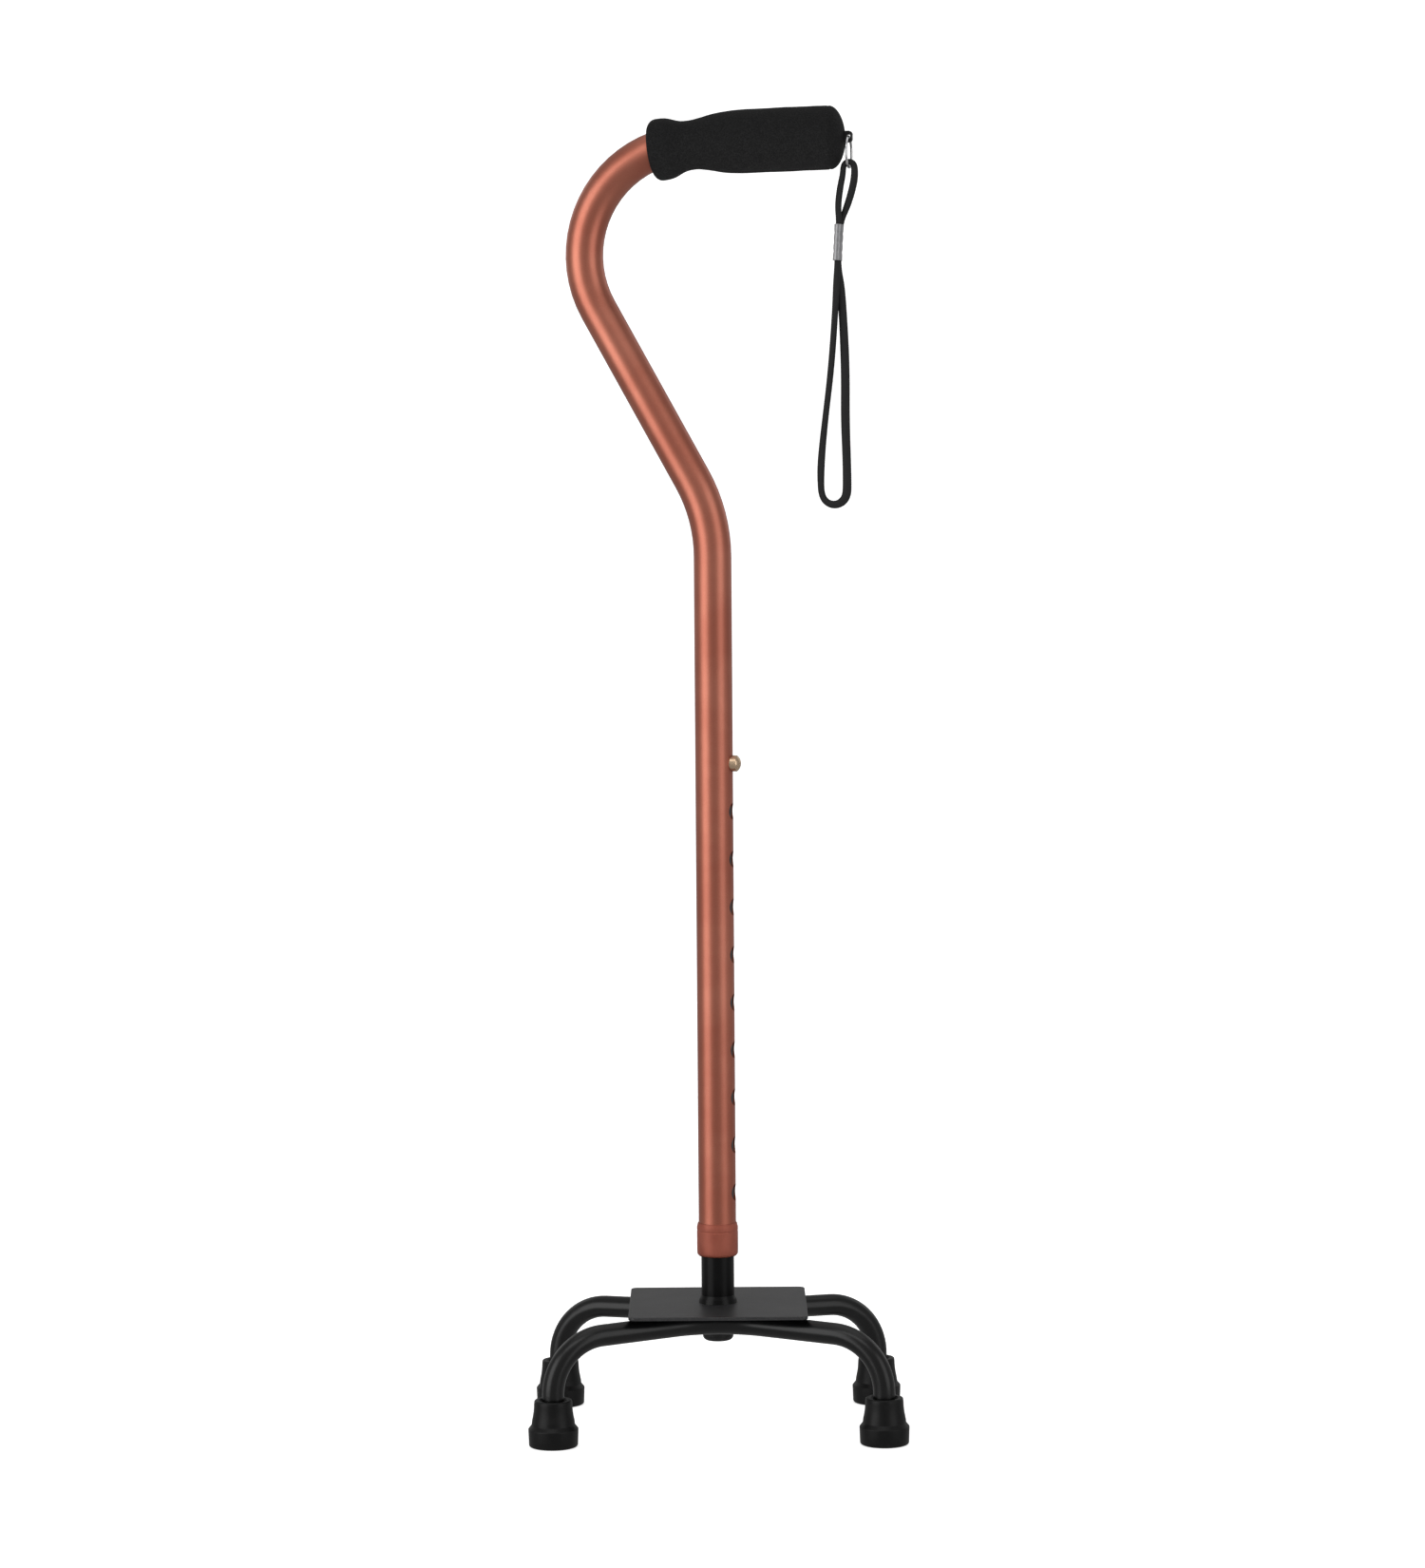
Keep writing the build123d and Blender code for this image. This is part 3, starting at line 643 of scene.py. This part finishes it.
def makeGrip():
    tangentAlong = grip["hook"][0] - grip["hookRadius"] * sin(grip["rise"])
    bodyEnd = (grip["domeStart"] - tangentAlong) / cos(grip["rise"])
    boreEnd = (grip["boreEnd"] - tangentAlong) / cos(grip["rise"])
    boreLine = np.linspace(boreEnd, bodyEnd - grip["length"] + 0.0010, grip["boreRows"])
    innerCentre, innerNormal = handlePoint(boreLine)
    corner = np.linspace(0, pi / 2, 14)
    rim = grip["rimAlong"] * (1 - np.cos(corner))
    rimRadius = gripRadius(rim) - grip["rimAcross"] * (1 - np.sin(corner))
    body = np.concatenate([np.linspace(grip["rimAlong"], grip["length"] - 0.003, 180)[1:],
                           np.linspace(grip["length"] - 0.003, grip["length"] + 0.0003, 26)[1:]])
    domeTurn = np.linspace(0.07, pi / 2, 28)[:-1]
    domeRadius = grip["radius"] * np.cos(domeTurn)
    domeCrease = grip["creaseDepth"] * np.exp(-((grip["dome"] * np.sin(domeTurn)) / grip["creaseWidth"]) ** 2)
    distance = np.concatenate([rim, body, grip["length"] + grip["dome"] * np.sin(domeTurn)])
    radius = np.concatenate([rimRadius, gripRadius(body), domeRadius - domeCrease])
    outerCentre, outerNormal = gripPoint(distance, handlePoint(np.array([bodyEnd]))[0][0])
    centre = np.vstack([innerCentre, outerCentre])
    normal = np.vstack([innerNormal, outerNormal])
    radius = np.concatenate([np.full(grip["boreRows"], grip["bore"]), radius])
    angle = np.linspace(0, 2 * pi, grip["columns"], endpoint=False)
    ring = np.cos(angle)[None, :, None] * normal[:, None] + np.sin(angle)[None, :, None] * acrossHandle
    grid = centre[:, None] + radius[:, None, None] * ring
    uneven = grip["unevenness"] * (ripple(grid, 0.021, 3) + 0.6 * ripple(grid, 0.0065, 4))
    uneven[:grip["boreRows"] + 2] = 0  # the bore and the lip's first rows stay smooth
    grid = grid + uneven[..., None] * ring
    piece = skin("foamGrip", grid, caps=("start", "end"))
    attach(piece, "shaft")
    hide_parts("foam_grip")
    return piece


# ---- rubber tips

tip = {"sole": 0.0145, "flange": 0.0103, "shoulder": 0.0126, "coneLow": 0.0126, "coneHigh": 0.01075,
       "height": 0.0270, "rim": 0.0082, "rimDepth": 0.0034, "tube": 0.00638, "floor": 0.0096,
       "groove": 0.0014, "waist": 0.00028}


def makeTip(side, centre):
    # sole with two grooves, wide flange, shoulder, cone and a dished rim; the socket's wall follows the leg
    depth = tip["groove"]
    outline = [(0.0005, 0.0), (0.0062, 0.0), (0.0062, depth), (0.0078, depth), (0.0078, 0.0), (0.0102, 0.0),
               (0.0102, depth), (0.0118, depth), (0.0118, 0.0), (tip["sole"] - 0.0004, 0.0),
               (tip["sole"], tip["flange"]), (tip["coneLow"], tip["shoulder"]),
               (tip["coneHigh"], tip["height"]), (tip["rim"], tip["height"]),
               (tip["tube"], tip["height"] - tip["rimDepth"]), (tip["tube"], tip["floor"]), (0.0005, tip["floor"])]
    radii = [0, 0.0002, 0.0003, 0.0003, 0.0002, 0.0002, 0.0003, 0.0003, 0.0002, 0.0014, 0.0008, 0.0006,
             0.0009, 0.0006, 0.0005, 0.0004, 0]
    smooth = roundCorners(outline, radii)
    cone = np.linspace(tip["shoulder"] + 0.0026, tip["height"] - 0.0022, 14)
    low, high = (tip["coneLow"], tip["shoulder"]), (tip["coneHigh"], tip["height"])
    wall = np.interp(cone, [low[1], high[1]], [low[0], high[0]])
    bulge = tip["waist"] * np.sin((cone - cone[0]) / (cone[-1] - cone[0]) * pi)
    after = int(np.argmax((smooth[:, 1] > cone[0]) & (smooth[:, 0] > tip["rim"])))
    smooth = np.vstack([smooth[:after], np.stack([wall - bulge, cone], -1), smooth[after:]])
    piece = lathe("tip" + side, smooth, centre, columns=112)
    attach(piece, "base")
    return piece


def makeTips():
    made = []
    for row in ("front", "rear"):
        for hand in ("left", "right"):
            node = f"tip_{row}_{hand}"
            low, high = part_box(node)
            centre = ((low.x + high.x) / 2, (low.y + high.y) / 2, low.z)
            piece = makeTip(row.capitalize() + hand.capitalize(), centre)
            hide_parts(node)
            made.append(piece)
    return made


# ---- locking collar

collar = {"radius": 0.0121, "mouth": 0.0115, "bore": 0.0111, "lipBore": 0.00985, "lip": 0.0032,
          "taper": 0.0025, "groove": 0.0046, "grooveDepth": 0.00022, "grooveWidth": 0.0005}


def makeCollar():
    low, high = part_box("locking_collar")
    height = high.z - low.z
    radius, seamAt = collar["radius"], height - collar["groove"]
    outline = [(radius - 0.0001, 0.0), (radius, 0.004), (radius, seamAt - collar["grooveWidth"]),
               (radius - collar["grooveDepth"], seamAt), (radius, seamAt + collar["grooveWidth"]),
               (radius, height - collar["taper"]), (collar["mouth"], height), (collar["bore"], height),
               (collar["bore"], collar["lip"]), (collar["lipBore"], collar["lip"]), (collar["lipBore"], 0.0)]
    start = [((radius + collar["lipBore"]) / 2, 0.0)]
    radii = [0, 0.0019, 0.0, 0.0001, 0.0001, 0.0001, 0.0008, 0.00025, 0.0001, 0.0002, 0.0002, 0.0004, 0]
    smooth = roundCorners(start + outline + start, radii)
    piece = lathe("lockingCollar", smooth[:-1], (0, 0, low.z), columns=128, closed=True)
    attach(piece, "collar")
    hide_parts("locking_collar")
    return piece


# ---- floor and wall

def makeStage():
    # a floor that curves up into a wall behind
    back, bend = stageSet["backDistance"], stageSet["bend"]
    turn = np.linspace(0, pi / 2, stageSet["steps"])
    away = np.concatenate([[-stageSet["floorSize"]], back - bend + bend * np.sin(turn), [back]])
    up = np.concatenate([[0], bend - bend * np.cos(turn), [stageSet["wallHeight"]]])
    across = np.linspace(-stageSet["floorSize"], stageSet["floorSize"], 2)
    grid = np.empty((len(away), 2, 3))
    grid[..., 0], grid[..., 1], grid[..., 2] = across[None], away[:, None], up[:, None] - 0.00002
    floor = skin("floor", grid, ringClosed=False)
    f = Finish("paleFloor", Specular_IOR_Level=0.2, Roughness=0.8, Emission_Strength=stageSet["floorGlow"],
               Emission_Color=(1, 1, 1, 1))
    cloud = f.noise(2.0, 2)
    pale = stageSet["floorColour"]
    clothe(f.feed(Base_Color=f.blendColours(cloud, pale, tuple(channel * 0.99 for channel in pale))), floor)
    floor.visible_glossy = False


makeCamera()
makeLights()
makeWorld()
bpy.context.scene.view_settings.view_transform = "Standard"
print("camera and light set")

strapPiece, strapLine, strapStart = makeStrap()
sleevePiece = makeSleeve()
print("strap made,", len(strapLine), "rings")
gripPiece = makeGrip()
tipPieces = makeTips()
collarPiece = makeCollar()
print("grip, tips and collar made")
makeStage()

copperRedFinish = makeCopperRed()
blackPlastic = makePlastic("blackPlastic", (0.0042, 0.0042, 0.0044), 0.36)
nylon = makePlastic("naturalNylon", (0.62, 0.60, 0.55), 0.45)
zincSteel = makeMetal("zincSteel", (0.62, 0.63, 0.64), 0.26, (0.42, 0.42, 0.42))
springSteel = makeMetal("springSteel", (0.50, 0.50, 0.52), 0.24, (0.30, 0.28, 0.26))
brass = makeMetal("buttonBrass", (0.72, 0.53, 0.36), 0.22, (0.48, 0.30, 0.17), (1, 1, 1), 1500)
brightWire = makeMetal("brightWire", (0.78, 0.78, 0.79), 0.14, (0.55, 0.55, 0.56))
sleeveMetal = makeMetal("sleeveAluminium", (0.38, 0.38, 0.39), 0.42, (0.28, 0.28, 0.29), (1, 1, 0.04), 1400,
                        0.00003)
clothe(copperRedFinish, nodes["upper_tube"])
clothe(makeBlackPaint("legPowderCoat", 0.42), nodes["front_leg_tube"], nodes["rear_leg_tube"],
       nodes["weld_beads"])
clothe(makeBlackPaint("postPowderCoat", 0.18), nodes["post"], nodes["post_flare"])
clothe(makePlatePaint(), nodes["base_plate"])
clothe(blackPlastic, nodes["post_end_cap"], nodes["strap_eyelet"])
clothe(nylon, nodes["post_top_plug"], nodes["handle_end_plug"], nodes["compression_ring"])
clothe(zincSteel, nodes["tip_washers"])
clothe(springSteel, nodes["button_spring"])
clothe(brass, nodes["snap_button"])
clothe(brightWire, nodes["strap_ring"])
clothe(sleeveMetal, sleevePiece)
clothe(makeCordWeave(), strapPiece)
clothe(makeFoam(), gripPiece)
clothe(makeRubber(), *tipPieces)
clothe(makeCollarPlastic(), collarPiece)
print("materials given to", len(bpy.data.materials), "finishes")
